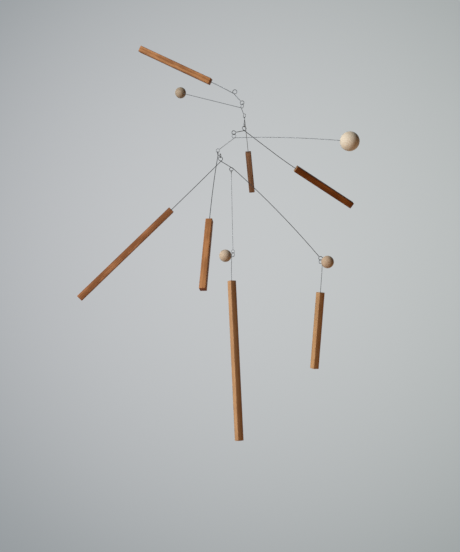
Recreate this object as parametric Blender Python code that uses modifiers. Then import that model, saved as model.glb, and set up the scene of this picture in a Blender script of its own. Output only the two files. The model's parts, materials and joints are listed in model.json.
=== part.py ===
"""Hanging mobile: nine bent-wire arms with wooden sticks and balls, each hung from the one above.

Every arm is one wire. Its coil, a single turn, hangs in the eye of the arm above. One leg of the
wire carries a wooden weight and the other leg ends in the eye that carries the rest of the chain.
Metres, +Z up. The origin is the bearing point inside the top coil, where the mobile is hung.
"""

from collections import namedtuple
from math import acos, cos, degrees, radians, sin

import bmesh
import bpy
from mathutils import Vector

# A leg leaves its coil at a rise above the horizontal, is straight for a share of its length and
# bends evenly over the rest. Degrees.
Leg = namedtuple("Leg", "rise length bend straight", defaults=(0.0,))
# Roll turns a stick about its own axis. Degrees.
Stick = namedtuple("Stick", "length width roll")
Ball = namedtuple("Ball", "diameter")
# Turn is the plan direction of the first leg, from +X. An arm without a second weight has an eye.
# A stretch is the part of the second leg before a loop bent under it.
Arm = namedtuple("Arm", "name turn wire leg weight leg_2 weight_2 stretch", defaults=(None, None))

# Wire forms, measured to the middle of the wire
COIL_RADIUS = 0.0033
EYE_RADIUS = 0.0031
UNDER_LOOP_RADIUS = 0.0029
LINK_EYE_RADIUS = 0.0026
NECK_RADIUS = 0.0015
EYE_MOUTH = 0.0006
TURN_GAP = 0.00035
HANG_GAP = 0.0003

# Wires: stout for the loaded arms, slim for the light ones, thin for the link
STOUT_WIRE = 0.0010
SLIM_WIRE = 0.0008
LINK_WIRE = 0.0006
LINK_EYE_SPACING = 0.129
LINK_TOP_TURN = 98.0
LINK_BOTTOM_TURN = 8.0

# Wooden weights
STICK_WIDTH = 0.010
SLIM_STICK_WIDTH = 0.009
STICK_EDGE = 0.0005
SMALL_BALL = 0.020
BIG_BALL = 0.0275
BORE_CLEARANCE = 0.0003
WIRE_IN_STICK = 0.012
WIRE_IN_BALL = 0.008

# Lengths along the wire from the coil of each arm to its weight and to its eye, and of its stick
ARM_1_LEG = 0.045
ARM_1_STICK = 0.137
ARM_1_EYE_LEG = 0.0182
ARM_2_LEG = 0.2045
ARM_2_EYE_LEG = 0.0146
ARM_3_LEG = 0.0565
ARM_3_STICK = 0.071
ARM_3_EYE_LEG = 0.0058
ARM_4_LEG = 0.1045
ARM_4_STICK = 0.113
ARM_4_EYE_LEG = 0.0145
ARM_5_LEG = 0.1852
ARM_5_EYE_LEG = 0.0316
ARM_6_LEG = 0.1285
ARM_6_STICK = 0.1155
ARM_6_EYE_LEG = 0.0083
ARM_7_LEG = 0.116
ARM_7_STICK = 0.199
ARM_7_STRETCH = 0.0236
ARM_7_EYE_LEG = 0.199
ARM_8_BALL_LEG = 0.0157
ARM_8_LEG = 0.042
ARM_8_STICK = 0.248
ARM_9_BALL_LEG = 0.0051
ARM_9_LEG = 0.0495
ARM_9_STICK = 0.123

# The arms from the top down. Arms 1 to 7 end in an eye, arms 8 and 9 in a second weight.
ARM_1 = Arm("arm_1", 168.0, STOUT_WIRE, Leg(34.0, ARM_1_LEG, -4.0),
            Stick(ARM_1_STICK, STICK_WIDTH, -7.0), Leg(-51.0, ARM_1_EYE_LEG, 0.0))
ARM_2 = Arm("arm_2", 124.0, SLIM_WIRE, Leg(24.2, ARM_2_LEG, 0.7),
            Ball(SMALL_BALL), Leg(-61.5, ARM_2_EYE_LEG, 0.0))
ARM_3 = Arm("arm_3", 82.0, SLIM_WIRE, Leg(-42.6, ARM_3_LEG, -8.3),
            Stick(ARM_3_STICK, SLIM_STICK_WIDTH, -4.0), Leg(-62.5, ARM_3_EYE_LEG, 0.0))
ARM_4 = Arm("arm_4", 18.0, STOUT_WIRE, Leg(-33.8, ARM_4_LEG, 4.2, straight=0.6),
            Stick(ARM_4_STICK, STICK_WIDTH, 34.0), Leg(-15.0, ARM_4_EYE_LEG, 0.0))
ARM_5 = Arm("arm_5", -33.0, SLIM_WIRE, Leg(-8.8, ARM_5_LEG, -6.0),
            Ball(BIG_BALL), Leg(-24.7, ARM_5_EYE_LEG, 0.0))
ARM_6 = Arm("arm_6", -104.0, STOUT_WIRE, Leg(-58.2, ARM_6_LEG, -10.8),
            Stick(ARM_6_STICK, STICK_WIDTH, -4.0), Leg(16.0, ARM_6_EYE_LEG, 0.0))
ARM_7 = Arm("arm_7", 187.0, STOUT_WIRE, Leg(-45.2, ARM_7_LEG, 0.9),
            Stick(ARM_7_STICK, STICK_WIDTH, -3.0), Leg(-42.3, ARM_7_EYE_LEG, -8.1),
            stretch=Leg(-31.3, ARM_7_STRETCH, 0.0))
ARM_8 = Arm("arm_8", 120.0, SLIM_WIRE, Leg(10.5, ARM_8_BALL_LEG, 0.0), Ball(SMALL_BALL),
            Leg(-98.2, ARM_8_LEG, 11.2), Stick(ARM_8_STICK, STICK_WIDTH, -3.0))
ARM_9 = Arm("arm_9", -50.0, SLIM_WIRE, Leg(3.2, ARM_9_BALL_LEG, 0.0), Ball(SMALL_BALL),
            Leg(-83.5, ARM_9_LEG, 2.2), Stick(ARM_9_STICK, STICK_WIDTH, 8.0))

# How finely round forms are faceted
COIL_STEP = 24.0
EYE_STEP = 30.0
NECK_STEP = 24.0
BEND_STEP = 2.5
WIRE_BEVEL_RESOLUTION = 2
BORE_SIDES = 12
BALL_SEGMENTS = 20
BALL_RINGS = 12

HARDWOOD = ("hardwood", (0.30, 0.13, 0.05, 1.0), 0.45, 0.0)
PALE_WOOD = ("pale_wood", (0.55, 0.42, 0.28, 1.0), 0.5, 0.0)
STEEL_WIRE = ("steel_wire", (0.16, 0.16, 0.17, 1.0), 0.4, 1.0)


def heading(angle):
    """Unit vector at an angle above the horizontal, in an arm's own plane."""
    return Vector((cos(radians(angle)), 0.0, sin(radians(angle))))


def arc(centre, radius, first, sweep, step, side_first=0.0, side_last=0.0):
    """Points round a centre, from one polar angle through a sweep, with an even sideways drift."""
    count = max(2, round(abs(sweep) / step))
    points = []
    for i in range(count + 1):
        share = i / count
        point = centre + radius * heading(first + sweep * share)
        point.y = side_first + (side_last - side_first) * share
        points.append(point)
    return points


def leg_points(start, leg):
    """Points along a leg, and the heading at its end."""
    count = max(1, round(abs(leg.bend) / BEND_STEP))
    chord = leg.length * (1.0 - leg.straight) / count
    points = [start]
    angle = leg.rise
    if leg.straight:
        points.append(start + leg.length * leg.straight * heading(angle))
    for _ in range(count):
        angle += leg.bend / count / 2
        points.append(points[-1] + chord * heading(angle))
        angle += leg.bend / count / 2
    return points, angle


def eye_points(end, angle, radius, wire):
    """A loop centred on the line of the wire, behind a short back-bent neck, and its centre."""
    neck_bend = degrees(acos(NECK_RADIUS / (radius + NECK_RADIUS)))
    neck_centre = end + NECK_RADIUS * heading(angle + 90.0)
    neck = arc(neck_centre, NECK_RADIUS, angle - 90.0, neck_bend, NECK_STEP, end.y, end.y)
    centre = end + (radius + NECK_RADIUS) * sin(radians(neck_bend)) * heading(angle)
    sweep = 360.0 - degrees((wire + EYE_MOUTH) / radius)
    loop = arc(centre, radius, angle + neck_bend + 90.0, -sweep, EYE_STEP, end.y, end.y)
    return neck[1:] + loop[1:], centre


def mirrored(points):
    """The second leg is worked out as if it left towards +X, then turned over to -X."""
    return [Vector((-p.x, p.y, p.z)) for p in points]


def hang_point(eye_centre, eye_radius, wire):
    """Where the coil of the next arm bears: on the wire at the bottom of an eye."""
    return eye_centre + Vector((0.0, 0.0, wire / 2 + HANG_GAP - eye_radius))


def collection(name):
    made = bpy.data.collections.new(name)
    bpy.context.scene.collection.children.link(made)
    return made


def material(name, colour, roughness, metallic):
    made = bpy.data.materials.new(name)
    made.use_nodes = True
    shader = made.node_tree.nodes["Principled BSDF"]
    shader.inputs["Base Color"].default_value = colour
    shader.inputs["Roughness"].default_value = roughness
    shader.inputs["Metallic"].default_value = metallic
    made.diffuse_color = colour
    return made


def place(obj, parent, location, rotation=(0.0, 0.0, 0.0)):
    obj.parent = parent
    obj.location = location
    obj.rotation_euler = rotation
    return obj


def pivot(name, parent, location, turn):
    """An empty on the vertical axis that an arm turns about, under the coil that it hangs by."""
    empty = bpy.data.objects.new(name, None)
    parts.objects.link(empty)
    return place(empty, parent, location, (0.0, 0.0, radians(turn)))


def wire_object(name, parent, points, diameter):
    curve = bpy.data.curves.new(name, "CURVE")
    curve.dimensions = "3D"
    curve.bevel_depth = diameter / 2
    curve.bevel_resolution = WIRE_BEVEL_RESOLUTION
    curve.use_fill_caps = True
    spline = curve.splines.new("POLY")
    spline.points.add(len(points) - 1)
    for spline_point, point in zip(spline.points, points):
        spline_point.co = (*point, 1.0)
    curve.materials.append(steel_wire)
    obj = bpy.data.objects.new(name, curve)
    parts.objects.link(obj)
    return place(obj, parent, (0.0, 0.0, 0.0))


def mesh_object(name, made, home, finish=None):
    mesh = bpy.data.meshes.new(name)
    made.to_mesh(mesh)
    made.free()
    if finish:
        mesh.materials.append(finish)
    obj = bpy.data.objects.new(name, mesh)
    home.objects.link(obj)
    return obj


def bore(target, parent, location, rotation, wire, depth):
    """Blind hole along local +X for the end of a wire, through the mouth at the given place."""
    made = bmesh.new()
    radius = wire / 2 + BORE_CLEARANCE
    bmesh.ops.create_cone(made, cap_ends=True, segments=BORE_SIDES, radius1=radius,
                          radius2=radius, depth=2 * depth)
    cutter = mesh_object(target.name + "_bore", made, cutters)
    cutter.hide_render = True
    cutter.display_type = "WIRE"
    along_x = (rotation[0], rotation[1] + radians(90.0), rotation[2])
    place(cutter, parent, location, along_x)
    cut = target.modifiers.new("bore", "BOOLEAN")
    cut.operation = "DIFFERENCE"
    cut.solver = "EXACT"
    cut.object = cutter


def add_stick(name, parent, mouth, angle, flip, stick, wire):
    """Square stick with eased edges, its inner end at the mouth, on the heading of the wire."""
    made = bmesh.new()
    bmesh.ops.create_cube(made, size=1.0)
    bmesh.ops.scale(made, vec=(stick.length, stick.width, stick.width), verts=made.verts)
    bmesh.ops.translate(made, vec=(stick.length / 2, 0.0, 0.0), verts=made.verts)
    obj = mesh_object(name, made, parts, hardwood)
    turned = radians(180.0) if flip else 0.0
    place(obj, parent, mouth, (radians(stick.roll), -radians(angle), turned))
    eased = obj.modifiers.new("eased edges", "BEVEL")
    eased.width = STICK_EDGE
    eased.segments = 1
    bore(obj, parent, mouth, (0.0, -radians(angle), turned), wire, WIRE_IN_STICK + HANG_GAP)
    return obj


def add_ball(name, parent, mouth, angle, ball, wire):
    """Turned ball that the wire enters along a radius."""
    made = bmesh.new()
    bmesh.ops.create_uvsphere(made, u_segments=BALL_SEGMENTS, v_segments=BALL_RINGS,
                              radius=ball.diameter / 2)
    obj = mesh_object(name, made, parts, pale_wood)
    obj.data.shade_smooth()
    centre = mouth + ball.diameter / 2 * heading(angle)
    centre.y = mouth.y
    place(obj, parent, centre, (0.0, radians(90.0 - angle), 0.0))
    bore(obj, parent, mouth, (0.0, -radians(angle), 0.0), wire, WIRE_IN_BALL + HANG_GAP)
    return obj


def add_weight(arm, parent, weight, mouth, angle, flip):
    """The weight on one leg, and how far the wire goes into it."""
    if isinstance(weight, Stick):
        add_stick(arm.name + "_stick", parent, mouth, angle, flip, weight, arm.wire)
        return WIRE_IN_STICK
    add_ball(arm.name + "_ball", parent, mouth, angle, weight, arm.wire)
    return WIRE_IN_BALL


def under_loop(start, angle, angle_after, wire):
    """A turn below the leg, which goes on beside itself at its next angle."""
    centre = start + UNDER_LOOP_RADIUS * heading(angle - 90.0)
    shift = wire + TURN_GAP
    sweep = 360.0 + angle - angle_after
    loop = arc(centre, UNDER_LOOP_RADIUS, angle + 90.0, -sweep, COIL_STEP, start.y, start.y + shift)
    centre.y = start.y + shift * (angle + 180.0) / sweep
    return loop, centre


def build_arm(arm, parent, location, parent_turn):
    """One arm under its parent. Gives its pivot and the places in its frame where others hang."""
    root = pivot(arm.name, parent, location, arm.turn - parent_turn)
    hangs = []
    coil_centre = Vector((0.0, 0.0, arm.wire / 2 - COIL_RADIUS))

    # The coil drifts sideways by one wire and a gap, and its top is over the pivot.
    leaving = arm.stretch or arm.leg_2
    sweep = 360.0 + arm.leg.rise + leaving.rise
    drift = arm.wire + TURN_GAP
    side = -drift * (180.0 + arm.leg.rise) / sweep
    coil = arc(coil_centre, COIL_RADIUS, arm.leg.rise - 90.0, -sweep, COIL_STEP, side, side + drift)

    first, angle = leg_points(coil[0], arm.leg)
    depth = add_weight(arm, root, arm.weight, first[-1], angle, False)
    first.append(first[-1] + depth * heading(angle))

    second = mirrored([coil[-1]])
    if arm.stretch:
        stretch, angle = leg_points(second[-1], arm.stretch)
        loop, centre = under_loop(stretch[-1], angle, arm.leg_2.rise, arm.wire)
        hangs.append(mirrored([hang_point(centre, UNDER_LOOP_RADIUS, arm.wire)])[0])
        second += stretch[1:] + loop[1:]
    rest, angle = leg_points(second[-1], arm.leg_2)
    second += rest[1:]
    if arm.weight_2:
        depth = add_weight(arm, root, arm.weight_2, mirrored([rest[-1]])[0], angle, True)
        second.append(rest[-1] + depth * heading(angle))
    else:
        eye, centre = eye_points(rest[-1], angle, EYE_RADIUS, arm.wire)
        hangs.append(mirrored([hang_point(centre, EYE_RADIUS, arm.wire)])[0])
        second += eye

    points = first[::-1] + coil[1:] + mirrored(second[1:])
    wire_object(arm.name + "_wire", root, points, arm.wire)
    return root, hangs


def build_link(parent, location, parent_turn):
    """Thin straight wire with an eye at each end, one turned a quarter round from the other."""
    root = pivot("link", parent, location, -parent_turn)
    top_centre = Vector((0.0, 0.0, LINK_WIRE / 2 - LINK_EYE_RADIUS))
    bottom_centre = top_centre - Vector((0.0, 0.0, LINK_EYE_SPACING))
    neck_bend = acos(NECK_RADIUS / (LINK_EYE_RADIUS + NECK_RADIUS))
    reach = (LINK_EYE_RADIUS + NECK_RADIUS) * sin(neck_bend)
    top_end = top_centre - Vector((0.0, 0.0, reach))
    bottom_end = bottom_centre + Vector((0.0, 0.0, reach))
    top_eye, _ = eye_points(top_end, 90.0, LINK_EYE_RADIUS, LINK_WIRE)
    bottom_eye, _ = eye_points(bottom_end, -90.0, LINK_EYE_RADIUS, LINK_WIRE)
    points = [turned(p, LINK_TOP_TURN) for p in top_eye[::-1]]
    points += [top_end, bottom_end]
    points += [turned(p, LINK_BOTTOM_TURN) for p in bottom_eye]
    wire_object("link_wire", root, points, LINK_WIRE)
    return root, hang_point(bottom_centre, LINK_EYE_RADIUS, LINK_WIRE)


def turned(point, angle):
    """A point in the XZ plane, turned about +Z."""
    return Vector((point.x * cos(radians(angle)), point.x * sin(radians(angle)), point.z))


for old in list(bpy.data.objects):
    bpy.data.objects.remove(old, do_unlink=True)

parts = collection("hanging_mobile")
cutters = collection("cutters")
hardwood = material(*HARDWOOD)
pale_wood = material(*PALE_WOOD)
steel_wire = material(*STEEL_WIRE)

holder = None
place_to_hang = Vector((0.0, 0.0, 0.0))
turn = 0.0
for arm in (ARM_1, ARM_2, ARM_3, ARM_4, ARM_5, ARM_6, ARM_7):
    holder, hangs = build_arm(arm, holder, place_to_hang, turn)
    place_to_hang = hangs[-1]
    turn = arm.turn

build_arm(ARM_9, holder, hangs[-1], turn)
link, link_bottom = build_link(holder, hangs[0], turn)
build_arm(ARM_8, link, link_bottom, 0.0)
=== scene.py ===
"""A hanging mobile: nine bent-wire arms with square wooden sticks and turned wooden balls.

Each arm hangs by a coil in the eye of the arm above it. Metres, +Z up, and the origin is where the
mobile is hung. Angles are in degrees.
"""

import json
from collections import namedtuple
from math import acos, ceil, cos, degrees, pi, radians, sin

import bpy
from mathutils import Matrix, Vector


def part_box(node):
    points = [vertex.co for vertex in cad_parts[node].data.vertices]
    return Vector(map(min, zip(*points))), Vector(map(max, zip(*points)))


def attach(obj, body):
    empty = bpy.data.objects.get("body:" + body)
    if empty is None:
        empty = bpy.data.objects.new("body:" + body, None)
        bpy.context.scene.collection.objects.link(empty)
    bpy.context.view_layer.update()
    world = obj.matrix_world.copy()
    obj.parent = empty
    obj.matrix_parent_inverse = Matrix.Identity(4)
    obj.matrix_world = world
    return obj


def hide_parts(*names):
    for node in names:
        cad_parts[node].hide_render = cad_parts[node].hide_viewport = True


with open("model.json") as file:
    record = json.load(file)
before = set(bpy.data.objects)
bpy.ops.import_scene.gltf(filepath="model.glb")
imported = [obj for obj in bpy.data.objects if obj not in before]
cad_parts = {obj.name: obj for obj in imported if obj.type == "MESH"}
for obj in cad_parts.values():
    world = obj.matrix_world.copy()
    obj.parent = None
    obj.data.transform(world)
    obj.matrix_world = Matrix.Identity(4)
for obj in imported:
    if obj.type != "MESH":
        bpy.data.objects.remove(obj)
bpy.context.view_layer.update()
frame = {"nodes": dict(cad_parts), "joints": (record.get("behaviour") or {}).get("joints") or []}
bpy.ops.object.select_all(action="DESELECT")

# Arm 1's wire
# Stout steel wire, drawn and cut to length, bent cold round a peg. Its coil is one full turn that
# the whole mobile hangs by, one leg goes into the stick, and the other is closed into an eye.
STOUT_WIRE = 0.0010
COIL_RADIUS = 0.0033
EYE_RADIUS = 0.0031
NECK_RADIUS = 0.0015
EYE_MOUTH = 0.0006
TURN_GAP = 0.00035
WIRE_IN_STICK = 0.012
BEND_SPACING = 0.0004
BEND_STEP = 0.5
WIRE_SIDES_RESOLUTION = 4
TIP_LENGTH = 0.00012
TIP_THICKNESS = 0.7
ROUND_SIDES_ANGLE = 40.0
WELD = 0.000001
OXIDE_PATCHES = {"Scale": 160.0, "Detail": 3.0, "Roughness": 0.6}
OXIDE_COVER = {"From Min": 0.38, "From Max": 0.66}
OXIDE_DULLS = {"From Min": 0.3, "From Max": 0.7, "To Min": 0.48, "To Max": 0.58}
GRIT = {"Scale": 2600.0, "Detail": 2.0}
GRIT_STRENGTH = 0.15
GRIT_DEPTH = 0.00004

# A leg rises above the horizontal, is straight for a share of its length and then bends evenly.
Leg = namedtuple("Leg", "rise length bend straight", defaults=(0.0, 0.0))


def heading(angle):
    """Unit vector at an angle above the horizontal, in the upright plane of an arm."""
    return Vector((cos(radians(angle)), 0.0, sin(radians(angle))))


def arc(centre, radius, first, sweep, side_first, side_last):
    """Points round a centre, with an even sideways drift, so that a turn passes beside itself."""
    count = ceil(abs(radians(sweep)) * radius / BEND_SPACING)
    points = []
    for i in range(count + 1):
        point = centre + radius * heading(first + sweep * i / count)
        point.y = side_first + (side_last - side_first) * i / count
        points.append(point)
    return points


def leg(start, shape):
    """Points along a leg, straight at first and then evenly bent, and the heading at its end."""
    points = [start]
    if shape.straight:
        points.append(start + shape.length * shape.straight * heading(shape.rise))
    count = max(1, round(abs(shape.bend) / BEND_STEP))
    chord = shape.length * (1.0 - shape.straight) / count
    for i in range(count):
        points.append(points[-1] + chord * heading(shape.rise + shape.bend * (i + 0.5) / count))
    return points, shape.rise + shape.bend


def eye(end, angle, radius, wire):
    """A round eye centred on the line of the leg, behind a short back-bent neck."""
    neck_bend = degrees(acos(NECK_RADIUS / (radius + NECK_RADIUS)))
    neck_centre = end + NECK_RADIUS * heading(angle + 90.0)
    neck = arc(neck_centre, NECK_RADIUS, angle - 90.0, neck_bend, end.y, end.y)
    centre = end + (radius + NECK_RADIUS) * sin(radians(neck_bend)) * heading(angle)
    sweep = degrees((wire + EYE_MOUTH) / radius) - 360.0
    return neck[1:] + arc(centre, radius, angle + neck_bend + 90.0, sweep, end.y, end.y)[1:]


def coil(rise, rise_2, wire):
    """The turn that an arm hangs by, from its first leg round over the top to its second."""
    sweep = 360.0 + rise + rise_2
    drift = wire + TURN_GAP
    side = -drift * (180.0 + rise) / sweep
    centre = Vector((0.0, 0.0, wire / 2 - COIL_RADIUS))
    return arc(centre, COIL_RADIUS, rise - 90.0, -sweep, side, side + drift)


def mirrored(points):
    """A second leg is worked out towards +X and turned over to the other side of its coil."""
    return [Vector((-p.x, p.y, p.z)) for p in points]


def add_node(tree, kind, inputs, **settings):
    """A shader node with its settings, and its sockets set or linked, by name or by number."""
    made = tree.nodes.new(kind)
    for setting, value in settings.items():
        setattr(made, setting, value)
    for socket, value in inputs.items():
        if isinstance(value, bpy.types.NodeSocket):
            tree.links.new(value, made.inputs[socket])
        else:
            made.inputs[socket].default_value = value
    return made


def new_group(name, inputs, outputs):
    """An empty node group with named sockets, and its input and output nodes."""
    group = bpy.data.node_groups.new(name, "ShaderNodeTree")
    for label, kind in inputs:
        group.interface.new_socket(label, in_out="INPUT", socket_type="NodeSocket" + kind)
    for label, kind in outputs:
        group.interface.new_socket(label, in_out="OUTPUT", socket_type="NodeSocket" + kind)
    return group, group.nodes.new("NodeGroupInput").outputs, group.nodes.new("NodeGroupOutput")


def mixed(tree, factor, first, second, way="MIX"):
    """The colour between two colours. The node's colour sockets share their names with others."""
    mix = add_node(tree, "ShaderNodeMix", {0: factor, 6: first, 7: second}, data_type="RGBA",
                   blend_type=way)
    return mix.outputs[2]


def ranged(tree, value, limits, **settings):
    """A value taken from one range to another, each from 0 to 1 where the limits don't say."""
    made = add_node(tree, "ShaderNodeMapRange", {"Value": value, **limits}, **settings)
    return made.outputs["Result"]


def drawn_steel_group():
    """Grey steel with a thin mottled oxide and fine grit, on coordinates in metres."""
    group, given, result = new_group(
        "drawn steel", [("Vector", "Vector"), ("Clean", "Color"), ("Oxide", "Color")],
        [("Color", "Color"), ("Roughness", "Float"), ("Height", "Float")])
    patches = add_node(group, "ShaderNodeTexNoise", {"Vector": given["Vector"], **OXIDE_PATCHES})
    grit = add_node(group, "ShaderNodeTexNoise", {"Vector": given["Vector"], **GRIT})
    share = ranged(group, patches.outputs["Fac"], OXIDE_COVER)
    rough = ranged(group, patches.outputs["Fac"], OXIDE_DULLS)
    group.links.new(mixed(group, share, given["Clean"], given["Oxide"]), result.inputs["Color"])
    group.links.new(rough, result.inputs["Roughness"])
    group.links.new(grit.outputs["Fac"], result.inputs["Height"])
    return group


def steel_material(name, clean, oxide):
    """Bare metal with its own clean and oxide colours."""
    made = bpy.data.materials.new(name)
    made.use_nodes = True
    tree = made.node_tree
    shader = tree.nodes["Principled BSDF"]
    shader.inputs["Metallic"].default_value = 1.0
    where = add_node(tree, "ShaderNodeTexCoord", {})
    steel = add_node(tree, "ShaderNodeGroup", {}, node_tree=drawn_steel)
    tree.links.new(where.outputs["Object"], steel.inputs["Vector"])
    steel.inputs["Clean"].default_value = (*clean, 1.0)
    steel.inputs["Oxide"].default_value = (*oxide, 1.0)
    bump = add_node(tree, "ShaderNodeBump", {
        "Height": steel.outputs["Height"], "Strength": GRIT_STRENGTH, "Distance": GRIT_DEPTH})
    tree.links.new(steel.outputs["Color"], shader.inputs["Base Color"])
    tree.links.new(steel.outputs["Roughness"], shader.inputs["Roughness"])
    tree.links.new(bump.outputs["Normal"], shader.inputs["Normal"])
    return made


def drawn_line(name, points):
    """A line through points, made with the curve tool."""
    bpy.ops.curve.primitive_bezier_curve_add()
    line = bpy.context.object
    line.name = name
    line.matrix_world = Matrix.Identity(4)
    line.data.splines.clear()
    spline = line.data.splines.new("POLY")
    spline.points.add(len(points) - 1)
    for made, point in zip(spline.points, points):
        made.co = (*point, 1.0)
    return line


def welded():
    """Merges the doubles of the mesh that is being edited, and turns its faces out."""
    bpy.ops.mesh.select_all(action="SELECT")
    bpy.ops.mesh.remove_doubles(threshold=WELD)
    bpy.ops.mesh.normals_make_consistent(inside=False)


def bent_wire(node, body, points, hung_at, diameter, finish, cut_ends):
    """A wire along points in its arm's frame. Ends that show, first 0 or last -1, are filed."""
    places = [hung_at @ point for point in points]
    thick = [1.0] * len(places)
    for end in cut_ends:
        inner = 1 if end == 0 else -2
        run = (places[inner] - places[end]).normalized()
        beside = 1 if end == 0 else len(places) - 1
        places.insert(beside, places[end] + TIP_LENGTH * run)
        thick.insert(beside, 1.0)
        thick[end] = TIP_THICKNESS
    line = drawn_line(node + "_bent", places)
    for made, size in zip(line.data.splines[0].points, thick):
        made.radius = size
    line.data.bevel_depth = diameter / 2
    line.data.bevel_resolution = WIRE_SIDES_RESOLUTION
    line.data.use_fill_caps = True
    bpy.ops.object.convert(target="MESH")
    wire = bpy.context.object
    bpy.ops.object.mode_set(mode="EDIT")
    welded()
    bpy.ops.object.mode_set(mode="OBJECT")
    bpy.ops.object.shade_smooth_by_angle(angle=radians(ROUND_SIDES_ANGLE))
    wire.data.materials.clear()
    wire.data.materials.append(finish)
    wire.select_set(False)
    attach(wire, body)
    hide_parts(node)


def hung(body, turn):
    """From an arm's own frame to the place where its coil bears, turned to its heading in plan."""
    places = {joint["child"]: joint["pos_m"] for joint in frame["joints"]}
    bearing_point = Matrix.Translation(places.get(body, (0.0, 0.0, 0.0)))
    return bearing_point @ Matrix.Rotation(radians(turn), 4, "Z")


def arm_with_eye(body, turn, wire, out, let_in, back, finish):
    """The wire of an arm that goes from its weight through its coil to its eye."""
    bearing = coil(out.rise, back.rise, wire)
    near, angle = leg(bearing[0], out)
    near.append(near[-1] + let_in * heading(angle))
    far, angle = leg(mirrored([bearing[-1]])[0], back)
    far += eye(far[-1], angle, EYE_RADIUS, wire)
    points = near[::-1] + bearing[1:] + mirrored(far[1:])
    bent_wire(body + "_wire", body, points, hung(body, turn), wire, finish,
              cut_ends=(-1,))


drawn_steel = drawn_steel_group()
stout_steel = steel_material("stout steel", clean=(0.205, 0.22, 0.24), oxide=(0.145, 0.152, 0.163))
arm_with_eye("arm_1", turn=168.0, wire=STOUT_WIRE, out=Leg(rise=34.0, length=0.045, bend=-4.0),
             let_in=WIRE_IN_STICK, back=Leg(rise=-51.0, length=0.0182),
             finish=stout_steel)

# Arm 1's stick
# Hardwood strip, 10 mm square, sawn to length and sanded, with its edges eased by hand. A hole
# drilled in one end holds the wire.
EASED_EDGE = 0.0006
EASED_EDGE_STEPS = 3
HOLE_CLEARANCE = 0.0001
HOLE_EASE = 0.00015
STICK_CUTS = 24
SANDING_UNEVENNESS = 0.00012
SANDING_SCALE = 0.03
HOLE_SIDES = 24
FLAT_SIDES_ANGLE = 35.0
AT_RIGHT_ANGLES = 0.1
# The wave texture turns through 20 radians a metre at scale 1, and a ring is a full turn.
WAVE_SCALE_PER_RING = pi / 10
RING_STRETCH = (0.05, 1.0, 1.0)
RING_WANDER = {"Distortion": 2.5, "Detail": 3.0, "Detail Scale": 0.8, "Detail Roughness": 0.55}
RING_SHARE = 0.42
FIBRE_SCALES = (70.0, 1500.0, 1500.0)
FIBRE_SHARE = 0.58
FIBRE_RELIEF = 0.6
PORE_SCALES = (260.0, 4200.0, 4200.0)
PORE_COVER = {"From Min": 0.40, "From Max": 0.30}
PORE_RELIEF = 0.5
PATCH_SCALES = (30.0, 110.0, 110.0)
PATCH_TONES = {"From Min": 0.35, "From Max": 0.65, "To Min": -0.5, "To Max": 0.5}
WOOD_TONES = {"From Min": 0.25, "From Max": 0.78}
# The deeper tone darkens the open pores and gives the painted shade along the edges.
DEEPER_TONE = (0.30, 0.20, 0.14, 1.0)
WOOD_ROUGHNESS = {"From Min": 0.2, "From Max": 0.8, "To Min": 0.60, "To Max": 0.44}
DULLER_WHERE_DARK = 0.2
END_BAND = {"From Min": -0.0005, "From Max": -0.0001}
# Painted shade along the long edges, deepening over this band towards each edge.
PAINTED_EDGE_SHADE_BAND = {"From Min": -0.0012, "From Max": -0.0004}
LATHE_MARKS = {"Scale": 900.0, "Distortion": 0.4}
GRAIN_DEPTH = 0.00005
STICK_RELIEF = 0.3
# The edge value is the depth of the painted shade along the long edges of a stick.
STICK_FIGURE = {"Rings": 420.0, "Pores": 0.5, "End Tone": 0.8, "Painted Edge Shade": 0.35}


def lies(node, pivot):
    """A square stick's centre, its axes with +X away from its wire, and its length and width."""
    mesh = frame["nodes"][node].data
    sides = sorted(mesh.polygons, key=lambda face: face.area, reverse=True)
    across = sides[0].normal.normalized()
    up = next(f.normal for f in sides if abs(f.normal.dot(across)) < AT_RIGHT_ANGLES).normalized()
    along = across.cross(up)
    if along.dot(mesh.vertices[0].co - pivot) < 0.0:
        along, up = -along, -up
    axes = Matrix((along, across, up)).transposed()
    inside = [axes.transposed() @ vertex.co for vertex in mesh.vertices]
    low = Vector([min(point[i] for point in inside) for i in range(3)])
    high = Vector([max(point[i] for point in inside) for i in range(3)])
    return axes @ ((low + high) / 2), axes, high - low


def applied(obj, kind, **settings):
    """A modifier with its settings, applied."""
    made = obj.modifiers.new(kind.lower(), kind)
    for setting, value in settings.items():
        setattr(made, setting, value)
    bpy.ops.object.select_all(action="DESELECT")
    obj.select_set(True)
    bpy.context.view_layer.objects.active = obj
    bpy.ops.object.modifier_apply(modifier=made.name)


def drilled(obj, mouth, direction, radius, depth, ease):
    """A blind hole with an eased rim, drilled into the piece from its mouth."""
    turned = direction.to_track_quat("Z", "Y").to_euler()
    bpy.ops.mesh.primitive_cylinder_add(
        vertices=HOLE_SIDES, radius=radius, depth=2 * depth, location=mouth, rotation=turned)
    shank = bpy.context.object
    wide = radius + 2 * ease
    bpy.ops.mesh.primitive_cone_add(
        vertices=HOLE_SIDES, radius1=wide, radius2=0.0, depth=2 * wide,
        location=mouth + direction * (radius + ease), rotation=turned)
    rim = bpy.context.object
    for cutter in (shank, rim):
        applied(obj, "BOOLEAN", operation="DIFFERENCE", solver="EXACT", object=cutter)
        bpy.data.objects.remove(cutter)


def laid(obj, centre, axes):
    """Moves a piece, made round the origin, to its place, and puts that place in its mesh."""
    obj.matrix_world = Matrix.Translation(centre) @ axes.to_4x4()
    bpy.ops.object.select_all(action="DESELECT")
    obj.select_set(True)
    bpy.context.view_layer.objects.active = obj
    bpy.ops.object.transform_apply(location=True, rotation=True, scale=True)
    bpy.ops.object.shade_smooth_by_angle(angle=radians(FLAT_SIDES_ANGLE))
    obj.select_set(False)


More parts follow.
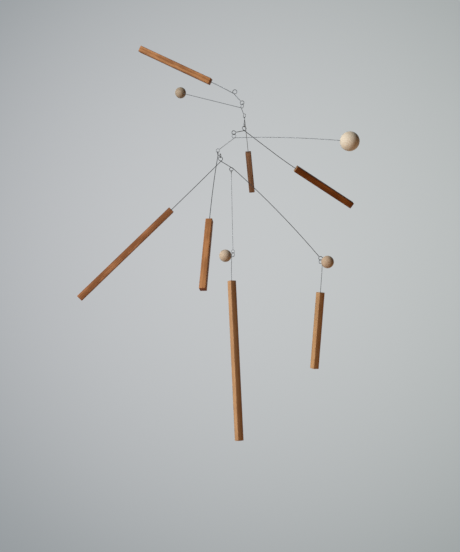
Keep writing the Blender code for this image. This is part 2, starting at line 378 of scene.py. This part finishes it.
def wood_figure_group():
    """Wood cut from a board: rings, fibres, pores and patches, with its own colour at the sawn
    ends, partly painted light, and painted shade along the edges.
    """
    group, given, result = new_group(
        "wood figure",
        [("Vector", "Vector"), ("Board", "Vector"), ("Pale", "Color"), ("Dark", "Color"),
         ("Rings", "Float"), ("Pores", "Float"), ("Patches", "Float"), ("Half Length", "Float"),
         ("Half Width", "Float"), ("End Grain And Painted Light", "Color"), ("End Tone", "Float"),
         ("Painted Edge Shade", "Float"), ("Turning", "Float")],
        [("Color", "Color"), ("Roughness", "Float"), ("Height", "Float")])

    def vector_math(way, first, second):
        made = add_node(group, "ShaderNodeVectorMath", {0: first, 1: second}, operation=way)
        return made.outputs["Vector"]

    def noise(scales, **settings):
        where = vector_math("MULTIPLY", board, scales)
        made = add_node(group, "ShaderNodeTexNoise", {"Vector": where, "Scale": 1.0, **settings})
        return made.outputs["Fac"]

    def math(way, first, second=0.0, clamp=False):
        made = add_node(group, "ShaderNodeMath", {0: first, 1: second}, operation=way,
                        use_clamp=clamp)
        return made.outputs["Value"]

    board = vector_math("ADD", given["Vector"], given["Board"])
    rings = add_node(group, "ShaderNodeTexWave", {
        "Vector": vector_math("MULTIPLY", board, RING_STRETCH),
        "Scale": math("MULTIPLY", given["Rings"], WAVE_SCALE_PER_RING), **RING_WANDER},
        wave_type="RINGS", rings_direction="X").outputs["Fac"]
    fibres = noise(FIBRE_SCALES, Detail=4.0, Roughness=0.65)
    fine = math("ADD", math("MULTIPLY", rings, RING_SHARE), math("MULTIPLY", fibres, FIBRE_SHARE))
    patches = ranged(group, noise(PATCH_SCALES, Detail=2.0), PATCH_TONES)
    tone = math("ADD", fine, math("MULTIPLY", patches, given["Patches"]))
    tone = ranged(group, tone, WOOD_TONES)

    parts = add_node(group, "ShaderNodeSeparateXYZ", {"Vector": given["Vector"]}).outputs
    # The sawn ends take their own colour: end grain, with painted light on some sticks.
    past_end = math("SUBTRACT", math("ABSOLUTE", parts["X"]), given["Half Length"])
    end = ranged(group, past_end, END_BAND)
    # Painted shade along the long edges of a stick.
    nearest = math("MINIMUM", math("ABSOLUTE", parts["Y"]), math("ABSOLUTE", parts["Z"]))
    edge = ranged(group, math("SUBTRACT", nearest, given["Half Width"]), PAINTED_EDGE_SHADE_BAND,
                  interpolation_type="SMOOTHSTEP")

    open_pores = ranged(group, noise(PORE_SCALES, Detail=1.0), PORE_COVER)
    dark = math("MULTIPLY", open_pores, given["Pores"])
    dark = math("ADD", dark, math("MULTIPLY", edge, given["Painted Edge Shade"]), clamp=True)
    colour = mixed(group, tone, given["Dark"], given["Pale"])
    deeper = mixed(group, 1.0, colour, DEEPER_TONE, "MULTIPLY")
    colour = mixed(group, dark, colour, deeper)
    end_grain_and_painted_light = mixed(group, fine, deeper, given["End Grain And Painted Light"])
    colour = mixed(group, math("MULTIPLY", end, given["End Tone"]), colour, end_grain_and_painted_light)

    marks = add_node(group, "ShaderNodeTexWave", {"Vector": given["Vector"], **LATHE_MARKS},
                     wave_type="BANDS", bands_direction="X").outputs["Fac"]
    height = math("SUBTRACT", math("MULTIPLY", fibres, FIBRE_RELIEF),
                  math("MULTIPLY", open_pores, PORE_RELIEF))
    height = math("ADD", height, math("MULTIPLY", marks, given["Turning"]))
    rough = math("ADD", ranged(group, fine, WOOD_ROUGHNESS),
                 math("MULTIPLY", dark, DULLER_WHERE_DARK))
    group.links.new(colour, result.inputs["Color"])
    group.links.new(rough, result.inputs["Roughness"])
    group.links.new(height, result.inputs["Height"])
    return group


def wood_material(name, centre, axes, gloss, relief, colours, figure):
    """Wood whose figure follows the piece's own axes, with its colours and the figure's values."""
    made = bpy.data.materials.new(name)
    made.use_nodes = True
    tree = made.node_tree
    shader = tree.nodes["Principled BSDF"]
    shader.inputs["Specular IOR Level"].default_value = gloss
    where = add_node(tree, "ShaderNodeTexCoord", {})
    own = add_node(tree, "ShaderNodeMapping", {
        "Vector": where.outputs["Object"], "Location": centre, "Rotation": axes.to_euler()},
        vector_type="TEXTURE")
    grain = add_node(tree, "ShaderNodeGroup", {}, node_tree=wood_figure)
    tree.links.new(own.outputs["Vector"], grain.inputs["Vector"])
    for socket, colour in colours.items():
        grain.inputs[socket].default_value = (*colour, 1.0)
    for socket, value in figure.items():
        grain.inputs[socket].default_value = value
    bump = add_node(tree, "ShaderNodeBump", {
        "Height": grain.outputs["Height"], "Strength": relief, "Distance": GRAIN_DEPTH})
    tree.links.new(grain.outputs["Color"], shader.inputs["Base Color"])
    tree.links.new(grain.outputs["Roughness"], shader.inputs["Roughness"])
    tree.links.new(bump.outputs["Normal"], shader.inputs["Normal"])
    return made


def square_stick(body, wire, board, pale, dark, ends, gloss=0.12, patches=0.9):
    """A sawn, sanded and drilled square stick, fitted to its node, with its own piece of board."""
    node = body + "_stick"
    centre, axes, size = lies(node, hung(body, 0.0).translation)
    bpy.ops.mesh.primitive_cube_add(size=1.0)
    stick = bpy.context.object
    stick.name = node + "_sanded"
    stick.scale = size
    bpy.ops.object.transform_apply(location=False, rotation=False, scale=True)
    applied(stick, "BEVEL", width=EASED_EDGE, segments=EASED_EDGE_STEPS, limit_method="NONE")
    bpy.ops.object.mode_set(mode="EDIT")
    bpy.ops.mesh.select_all(action="DESELECT")
    bpy.ops.object.mode_set(mode="OBJECT")
    points = stick.data.vertices
    for edge in stick.data.edges:
        first, last = (points[i].co for i in edge.vertices)
        edge.select = abs(first.x - last.x) > size.x / 2
    bpy.ops.object.mode_set(mode="EDIT")
    bpy.ops.mesh.select_mode(type="EDGE")
    bpy.ops.mesh.subdivide(number_cuts=STICK_CUTS)
    bpy.ops.object.mode_set(mode="OBJECT")
    uneven = bpy.data.textures.new(node + " sanding", "CLOUDS")
    uneven.noise_scale = SANDING_SCALE
    applied(stick, "DISPLACE", texture=uneven, strength=SANDING_UNEVENNESS, mid_level=0.5)
    mouth = Vector((-size.x / 2, 0.0, 0.0))
    drilled(stick, mouth, Vector((1.0, 0.0, 0.0)), wire / 2 + HOLE_CLEARANCE, WIRE_IN_STICK,
            HOLE_EASE)
    laid(stick, centre, axes)
    stick.data.materials.clear()
    stick.data.materials.append(wood_material(
        body + " hardwood", centre, axes, gloss, STICK_RELIEF,
        colours={"Pale": pale, "Dark": dark, "End Grain And Painted Light": ends},
        figure={**STICK_FIGURE, "Board": board, "Patches": patches, "Half Length": size.x / 2,
                "Half Width": size.y / 2}))
    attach(stick, body)
    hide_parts(node)


wood_figure = wood_figure_group()
# Its sawn ends are much paler than its sides: end grain, with painted light on the dim inner end.
square_stick("arm_1", STOUT_WIRE, board=(0.3, 0.031, 0.018), pale=(0.48, 0.21, 0.072),
             dark=(0.32, 0.125, 0.038), ends=(0.62, 0.28, 0.115))

# Arm 2's wire
# Slim steel wire, 0.8 mm thick, bent into the same coil and eye, with a long leg that is let into
# a ball.
SLIM_WIRE = 0.0008
WIRE_IN_BALL = 0.008
slim_steel = steel_material("slim steel", clean=(0.24, 0.255, 0.275), oxide=(0.18, 0.188, 0.20))
arm_with_eye("arm_2", turn=124.0, wire=SLIM_WIRE, out=Leg(rise=24.2, length=0.2045, bend=0.7),
             let_in=WIRE_IN_BALL, back=Leg(rise=-61.5, length=0.0146),
             finish=slim_steel)

# Arm 2's ball
# Pale wooden ball, 20 mm, turned on a lathe and left bare, with its grain along the drilled hole
# and a small flat at each end where it was held and parted off.
BALL_FLAT = 0.00012
BALL_OUTLINE_STEPS = 40
BALL_TURNING_STEPS = 64
BALL_GLOSS = 0.15
BALL_RELIEF = 0.12
# A ball has no sawn ends or eased edges; its end colour and painted edge shade start a metre out.
BALL_FIGURE = {"Rings": 500.0, "Pores": 0.1, "Patches": 0.3, "Turning": 0.3, "Half Length": 1.0,
               "Half Width": 1.0}


def turned_ball(body, turn, rise, wire, board, pale, dark):
    """A turned ball fitted to its node, drilled on the side that its wire comes from."""
    node = body + "_ball"
    low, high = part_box(node)
    centre = (low + high) / 2
    radius = max(high - low) / 2
    out = hung(body, turn).to_3x3() @ heading(rise)
    axes = out.to_track_quat("X", "Z").to_matrix()
    flat = radius - BALL_FLAT
    hole = wire / 2 + HOLE_CLEARANCE
    flat_edge = acos(flat / radius)
    outline = [(flat, 0.0)]
    for i in range(BALL_OUTLINE_STEPS + 1):
        angle = flat_edge + (pi - 2 * flat_edge) * i / BALL_OUTLINE_STEPS
        outline.append((radius * cos(angle), radius * sin(angle)))
    outline += [(-flat, hole + HOLE_EASE), (HOLE_EASE - flat, hole),
                (WIRE_IN_BALL - flat, hole), (WIRE_IN_BALL - flat, 0.0)]
    drawn_line(node + "_turned", [(along, 0.0, off) for along, off in outline])
    bpy.ops.object.convert(target="MESH")
    ball = bpy.context.object
    bpy.ops.object.mode_set(mode="EDIT")
    bpy.ops.mesh.select_all(action="SELECT")
    bpy.ops.mesh.spin(steps=BALL_TURNING_STEPS, angle=2 * pi, center=(0.0, 0.0, 0.0),
                      axis=(1.0, 0.0, 0.0))
    welded()
    bpy.ops.object.mode_set(mode="OBJECT")
    laid(ball, centre, axes)
    ball.data.materials.clear()
    ball.data.materials.append(wood_material(
        body + " ball wood", centre, axes, BALL_GLOSS, BALL_RELIEF,
        colours={"Pale": pale, "Dark": dark}, figure={**BALL_FIGURE, "Board": board}))
    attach(ball, body)
    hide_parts(node)


turned_ball("arm_2", turn=124.0, rise=24.9, wire=SLIM_WIRE, board=(0.1, 0.041, 0.022),
            pale=(0.53, 0.42, 0.305), dark=(0.42, 0.315, 0.22))

# Arm 3
# A slim steel wire, bent the same way and let into a short strip of darker hardwood, 9 mm square,
# that points away behind the others.
arm_with_eye("arm_3", turn=82.0, wire=SLIM_WIRE, out=Leg(rise=-42.6, length=0.0565, bend=-8.3),
             let_in=WIRE_IN_STICK, back=Leg(rise=-62.5, length=0.0058),
             finish=slim_steel)
square_stick("arm_3", SLIM_WIRE, board=(0.6, 0.028, 0.025), pale=(0.38, 0.203, 0.115),
             dark=(0.245, 0.125, 0.07), ends=(0.30, 0.15, 0.08))

# Arm 4
# A stout steel wire in a stick of a much darker wood than the rest. Its sawn ends are much paler
# than its sides: end grain, with painted light where the end faces the daylight.
arm_with_eye("arm_4", turn=18.0, wire=STOUT_WIRE,
             out=Leg(rise=-33.8, length=0.1045, bend=4.2, straight=0.6),
             let_in=WIRE_IN_STICK, back=Leg(rise=-15.0, length=0.0145),
             finish=stout_steel)
square_stick("arm_4", STOUT_WIRE, board=(0.9, 0.035, 0.015), pale=(0.265, 0.078, 0.015),
             dark=(0.15, 0.038, 0.006), ends=(0.72, 0.42, 0.20), patches=0.6)

# Arm 5
# A slim steel wire with the one big ball, 27.5 mm across, turned from the palest wood and drilled
# like the others.
arm_with_eye("arm_5", turn=-33.0, wire=SLIM_WIRE, out=Leg(rise=-8.8, length=0.1852, bend=-6.0),
             let_in=WIRE_IN_BALL, back=Leg(rise=-24.7, length=0.0316),
             finish=slim_steel)
turned_ball("arm_5", turn=-33.0, rise=-14.8, wire=SLIM_WIRE, board=(0.2, 0.036, 0.027),
            pale=(0.88, 0.75, 0.60), dark=(0.77, 0.63, 0.47))

# Arm 6
# A stout steel wire that comes forward and down, let into a hardwood stick that shows its outer
# sawn end.
arm_with_eye("arm_6", turn=-104.0, wire=STOUT_WIRE, out=Leg(rise=-58.2, length=0.1285, bend=-10.8),
             let_in=WIRE_IN_STICK, back=Leg(rise=16.0, length=0.0083),
             finish=stout_steel)
square_stick("arm_6", STOUT_WIRE, board=(1.2, 0.026, 0.030), pale=(0.565, 0.252, 0.102),
             dark=(0.40, 0.168, 0.064), ends=(0.50, 0.19, 0.10))

# Arm 7
# Stout steel wire with a leg each way. The left leg is let into a long hardwood stick. The right
# one makes a turn below itself, which the link hangs in, and goes on down to its eye.
UNDER_LOOP_RADIUS = 0.0029
ARM_7_TURN = 187.0
LEFT_LEG = Leg(rise=-45.2, length=0.116, bend=0.9)
LEG_TO_LOOP = Leg(rise=-31.3, length=0.0236)
LEG_TO_EYE = Leg(rise=-42.3, length=0.199, bend=-8.1)


def under_loop(start, angle, angle_after, wire):
    """A turn below the leg, which goes on beside itself at its next angle."""
    centre = start + UNDER_LOOP_RADIUS * heading(angle - 90.0)
    sweep = 360.0 + angle - angle_after
    return arc(centre, UNDER_LOOP_RADIUS, angle + 90.0, -sweep, start.y, start.y + wire + TURN_GAP)


bearing = coil(LEFT_LEG.rise, LEG_TO_LOOP.rise, STOUT_WIRE)
left, left_angle = leg(bearing[0], LEFT_LEG)
left.append(left[-1] + WIRE_IN_STICK * heading(left_angle))
right, right_angle = leg(mirrored([bearing[-1]])[0], LEG_TO_LOOP)
right += under_loop(right[-1], right_angle, LEG_TO_EYE.rise, STOUT_WIRE)[1:]
to_eye, eye_angle = leg(right[-1], LEG_TO_EYE)
right += to_eye[1:] + eye(to_eye[-1], eye_angle, EYE_RADIUS, STOUT_WIRE)
bent_wire("arm_7_wire", "arm_7", left[::-1] + bearing[1:] + mirrored(right[1:]),
          hung("arm_7", ARM_7_TURN), STOUT_WIRE, stout_steel, cut_ends=(-1,))
square_stick("arm_7", STOUT_WIRE, board=(1.5, 0.033, 0.021), pale=(0.58, 0.258, 0.118),
             dark=(0.37, 0.150, 0.062), ends=(0.55, 0.26, 0.13), patches=1.0)

# The link
# Straight thin steel wire, 0.6 mm, bent into an eye at each end, the lower one a quarter turn
# round from the upper. It hangs in arm 7's turn and carries arm 8.
LINK_WIRE = 0.0006
LINK_EYE_RADIUS = 0.0026
LINK_EYE_SPACING = 0.129
LINK_TOP_TURN = 98.0
LINK_BOTTOM_TURN = 8.0
link_neck = LINK_EYE_RADIUS + NECK_RADIUS
link_reach = link_neck * sin(acos(NECK_RADIUS / link_neck))
link_top = Vector((0.0, 0.0, LINK_WIRE / 2 - LINK_EYE_RADIUS - link_reach))
link_bottom = Vector((0.0, 0.0, link_top.z + 2 * link_reach - LINK_EYE_SPACING))
upper = Matrix.Rotation(radians(LINK_TOP_TURN), 3, "Z")
lower = Matrix.Rotation(radians(LINK_BOTTOM_TURN), 3, "Z")
link_line = [upper @ point for point in eye(link_top, 90.0, LINK_EYE_RADIUS, LINK_WIRE)[::-1]]
link_line += [link_top, link_bottom]
link_line += [lower @ point for point in eye(link_bottom, -90.0, LINK_EYE_RADIUS, LINK_WIRE)]
bent_wire("link_wire", "link", link_line, hung("link", 0.0), LINK_WIRE, slim_steel,
          cut_ends=(0, -1))


# Arms 8 and 9
# Slim steel wires let into a ball close beside the coil and a stick straight below it. They end
# the chain, so they have no eye. Arm 8 has the longest stick of all.
def arm_with_two_weights(body, turn, to_ball, to_stick):
    """The wire of an arm that goes from a ball through its coil to a stick."""
    bearing = coil(to_ball.rise, to_stick.rise, SLIM_WIRE)
    near, angle = leg(bearing[0], to_ball)
    near.append(near[-1] + WIRE_IN_BALL * heading(angle))
    far, angle = leg(mirrored([bearing[-1]])[0], to_stick)
    far.append(far[-1] + WIRE_IN_STICK * heading(angle))
    points = near[::-1] + bearing[1:] + mirrored(far[1:])
    bent_wire(body + "_wire", body, points, hung(body, turn), SLIM_WIRE, slim_steel,
              cut_ends=())


arm_with_two_weights("arm_8", turn=120.0, to_ball=Leg(rise=10.5, length=0.0157),
                     to_stick=Leg(rise=-98.2, length=0.042, bend=11.2))
turned_ball("arm_8", turn=120.0, rise=10.5, wire=SLIM_WIRE, board=(0.5, 0.030, 0.035),
            pale=(0.72, 0.57, 0.43), dark=(0.59, 0.45, 0.32))
square_stick("arm_8", SLIM_WIRE, board=(1.9, 0.030, 0.020), pale=(0.66, 0.36, 0.168),
             dark=(0.54, 0.275, 0.122), ends=(0.62, 0.35, 0.17), gloss=0.45, patches=0.5)
arm_with_two_weights("arm_9", turn=-50.0, to_ball=Leg(rise=3.2, length=0.0051),
                     to_stick=Leg(rise=-83.5, length=0.0495, bend=2.2))
turned_ball("arm_9", turn=-50.0, rise=3.2, wire=SLIM_WIRE, board=(0.8, 0.044, 0.016),
            pale=(0.67, 0.485, 0.34), dark=(0.55, 0.385, 0.255))
square_stick("arm_9", SLIM_WIRE, board=(2.4, 0.027, 0.023), pale=(0.70, 0.385, 0.172),
             dark=(0.59, 0.305, 0.128), ends=(0.65, 0.37, 0.17), gloss=0.5, patches=0.5)

# Floor and backdrop
# A plain pale floor well below the view, and a plain pale wall behind. The daylight on the wall is
# strongest right of the middle and falls off smoothly, a little bluer on the left.
WALL_DISTANCE = 2.2
WALL_SIZE = 16.0
WALL_BRIGHTEST = (0.4921, WALL_DISTANCE, 0.1289)
WALL_SPREAD = (2.12, 1.0, 1.95)
WALL_MIDDLE = (0.628, 0.634, 0.655, 1.0)
WALL_FAR = (0.297, 0.322, 0.337, 1.0)
WALL_REACH = 1.1
WALL_SOFTNESS = 0.4
WALL_RIGHT_TINT = (0.804, 0.836, 0.804, 1.0)
WALL_TINT_REACH = 1.2
UNTINTED = (1.0, 1.0, 1.0, 1.0)
UNLIT = (0.0, 0.0, 0.0, 1.0)
FLOOR_HEIGHT = -3.0
FLOOR_SIZE = 120.0
FLOOR_PAINT = (0.62, 0.62, 0.61, 1.0)
PAINT_ROUGHNESS = 0.9
PAINT_GLOSS = 0.1
ROOM_PALE = (0.36, 0.38, 0.395, 1.0)


def staged(name, size, place, turned):
    """A big plane that isn't part of the mobile, and its material's nodes."""
    bpy.ops.mesh.primitive_plane_add(size=size, location=place, rotation=turned)
    plane = bpy.context.object
    bpy.ops.object.transform_apply(location=True, rotation=True, scale=True)
    plane.name = name
    paint = bpy.data.materials.new(name + " paint")
    paint.use_nodes = True
    shader = paint.node_tree.nodes["Principled BSDF"]
    shader.inputs["Roughness"].default_value = PAINT_ROUGHNESS
    shader.inputs["Specular IOR Level"].default_value = PAINT_GLOSS
    plane.data.materials.append(paint)
    return paint.node_tree, shader


def daylit_wall():
    """A wall whose brightness is its own, so that no lamp for it shines on the mobile."""
    tree, shader = staged("wall", WALL_SIZE, (0.0, WALL_DISTANCE, 0.0), (pi / 2, 0.0, 0.0))
    where = add_node(tree, "ShaderNodeTexCoord", {}).outputs["Object"]
    centred = add_node(tree, "ShaderNodeMapping", {
        "Vector": where, "Location": WALL_BRIGHTEST, "Scale": WALL_SPREAD},
        vector_type="TEXTURE").outputs["Vector"]
    away = add_node(tree, "ShaderNodeVectorMath", {0: centred, 1: centred},
                    operation="DOT_PRODUCT").outputs["Value"]
    away = add_node(tree, "ShaderNodeMath", {0: away, 1: WALL_REACH, 2: WALL_SOFTNESS},
                    operation="SMOOTH_MIN").outputs["Value"]
    away = ranged(tree, away, {"From Max": WALL_REACH})
    across = add_node(tree, "ShaderNodeSeparateXYZ", {"Vector": where}).outputs["X"]
    across = ranged(tree, across, {"From Min": -WALL_TINT_REACH, "From Max": WALL_TINT_REACH})
    light = mixed(tree, away, WALL_MIDDLE, WALL_FAR)
    tint = mixed(tree, across, UNTINTED, WALL_RIGHT_TINT)
    tree.links.new(mixed(tree, 1.0, light, tint, "MULTIPLY"), shader.inputs["Emission Color"])
    shader.inputs["Emission Strength"].default_value = 1.0
    shader.inputs["Base Color"].default_value = UNLIT


daylit_wall()
floor_nodes, floor_shader = staged("floor", FLOOR_SIZE, (0.0, 0.0, FLOOR_HEIGHT), (0.0, 0.0, 0.0))
floor_shader.inputs["Base Color"].default_value = FLOOR_PAINT
# The floor glows for the camera alone, so that it runs on into the room that the camera sees.
floor_shader.inputs["Emission Color"].default_value = ROOM_PALE
floor_rays = add_node(floor_nodes, "ShaderNodeLightPath", {})
floor_nodes.links.new(floor_rays.outputs["Is Camera Ray"], floor_shader.inputs["Emission Strength"])

# Light and camera
# Soft daylight from the left and a little above, warm light that comes back up off a floor, and
# the dim room on the camera's side. The camera stands where the photograph was taken from.
MOBILE_MIDDLE = (0.0, 0.0, -0.25)
DAYLIGHT = (0.99, 1.0, 0.985)
BOUNCE = (1.0, 0.44, 0.07)
ROOM_DIM = (0.02, 0.019, 0.017, 1.0)


def soft_light(name, direction, distance, size, power, colour):
    """A square light that faces the mobile, and that only lights: the camera doesn't see it."""
    toward = Vector(direction).normalized()
    bpy.ops.object.light_add(type="AREA", location=Vector(MOBILE_MIDDLE) + distance * toward,
                             rotation=toward.to_track_quat("Z", "Y").to_euler())
    light = bpy.context.object
    light.name = name
    light.visible_camera = False
    light.data.size = size
    light.data.energy = power
    light.data.color = colour


soft_light("daylight", direction=(-0.76, -0.585, 0.28), distance=2.4, size=0.9, power=58.0,
           colour=DAYLIGHT)
soft_light("floor bounce", direction=(0.43, -0.33, -0.84), distance=1.95, size=1.8, power=8.0,
           colour=BOUNCE)

world = bpy.data.worlds.new("room")
bpy.context.scene.world = world
world.use_nodes = True
seen = world.node_tree
backdrop = seen.nodes["Background"]
rays = add_node(seen, "ShaderNodeLightPath", {})
shade = mixed(seen, rays.outputs["Is Camera Ray"], ROOM_DIM, ROOM_PALE)
seen.links.new(shade, backdrop.inputs["Color"])

CAMERA_PLACE = (-0.0136, -1.07, -0.4123)
CAMERA_PITCH = 6.0
CAMERA_ROLL = -1.15
CAMERA_LENS = 45.0
aim = Matrix.Rotation(radians(90.0 + CAMERA_PITCH), 3, "X")
aim = aim @ Matrix.Rotation(radians(CAMERA_ROLL), 3, "Z")
bpy.ops.object.camera_add(location=CAMERA_PLACE, rotation=aim.to_euler())
camera = bpy.context.object
camera.data.lens = CAMERA_LENS
bpy.context.scene.camera = camera
bpy.context.scene.view_settings.view_transform = "Standard"
